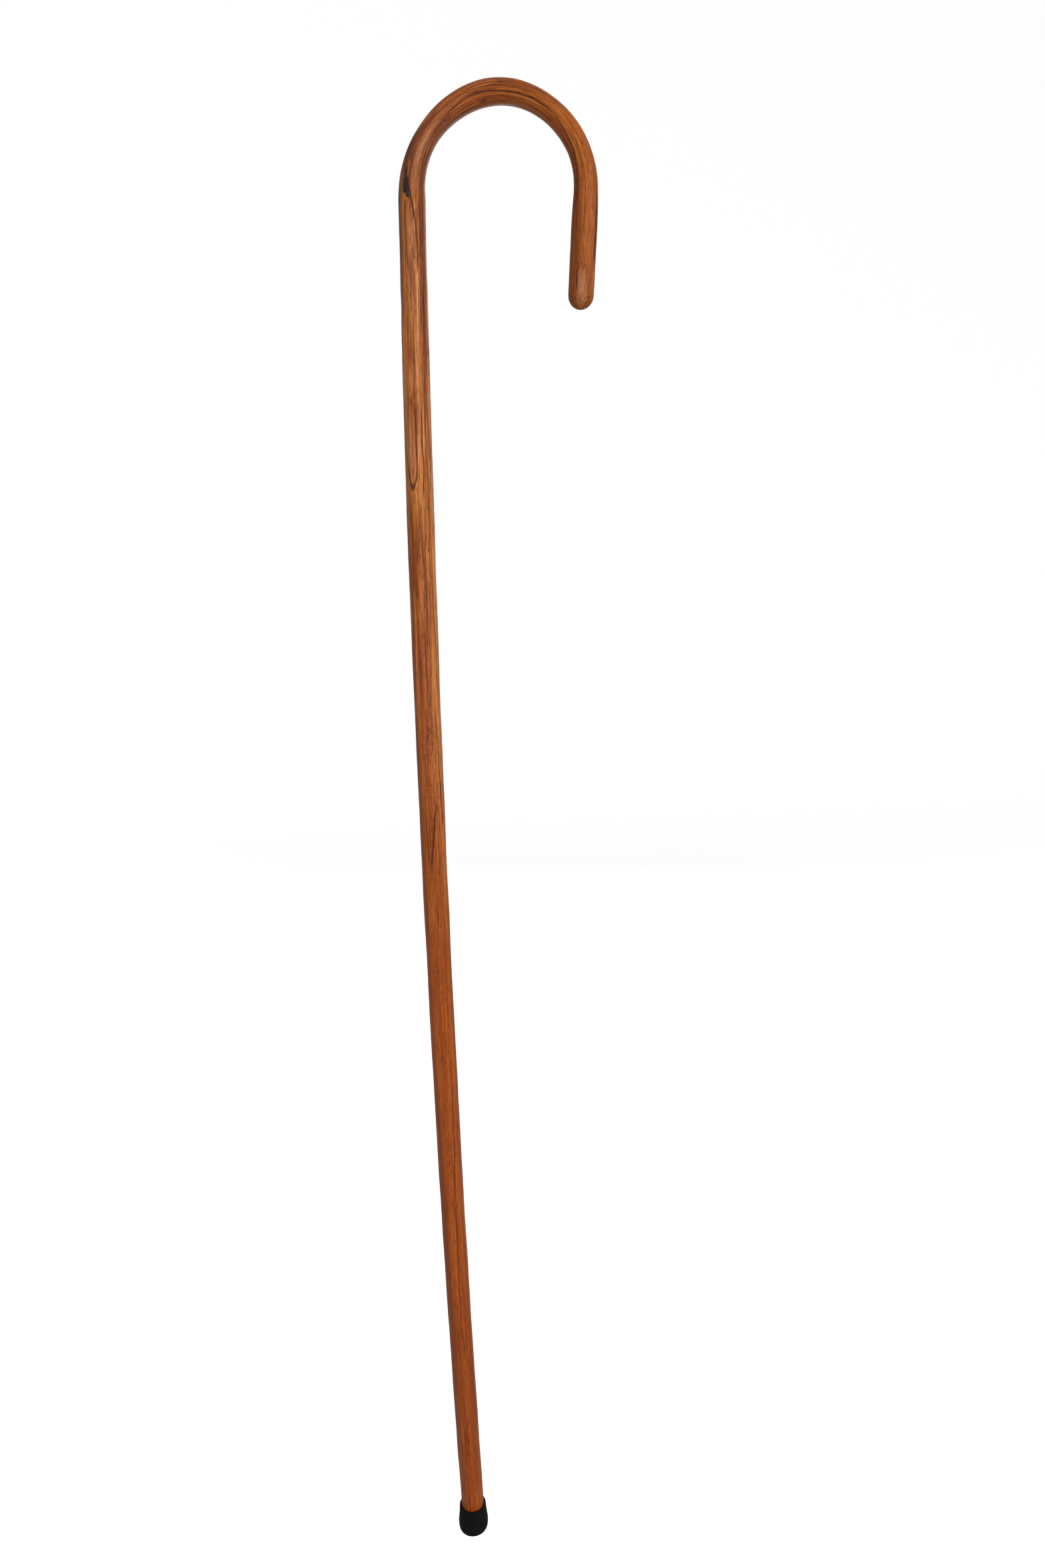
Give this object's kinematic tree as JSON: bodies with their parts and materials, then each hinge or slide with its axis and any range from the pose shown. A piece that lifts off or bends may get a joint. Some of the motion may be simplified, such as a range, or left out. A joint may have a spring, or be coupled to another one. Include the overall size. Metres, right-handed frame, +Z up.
{
  "type": "walking cane",
  "caption": "Crook-handle walking cane: a slim tapered bentwood stick with a rounded hook end and a push-on rubber ferrule with a steel washer.",
  "frame": {"origin": "centre of the ferrule's flat base, on the axis of the shaft", "axes": "+Z up along the shaft; the crook opens towards +X and lies in the XZ plane; +Y is square to it"},
  "size_m": [0.1232, 0.02, 0.94],
  "materials": {
    "varnished_wood": "gloss varnish over stained ring-porous hardwood",
    "black_rubber": "moulded, near matt",
    "zinc_steel": "zinc-plated stamping"
  },
  "bodies": {
    "stick": {"stick": "varnished_wood"},
    "ferrule": {"ferrule": "black_rubber", "ferrule_washer": "zinc_steel"}
  },
  "joints": [
    {"name": "ferrule_pull", "type": "slide", "parent": "stick", "child": "ferrule", "axis": [0, 0, -1], "range_m": [0, 0.02]}
  ]
}
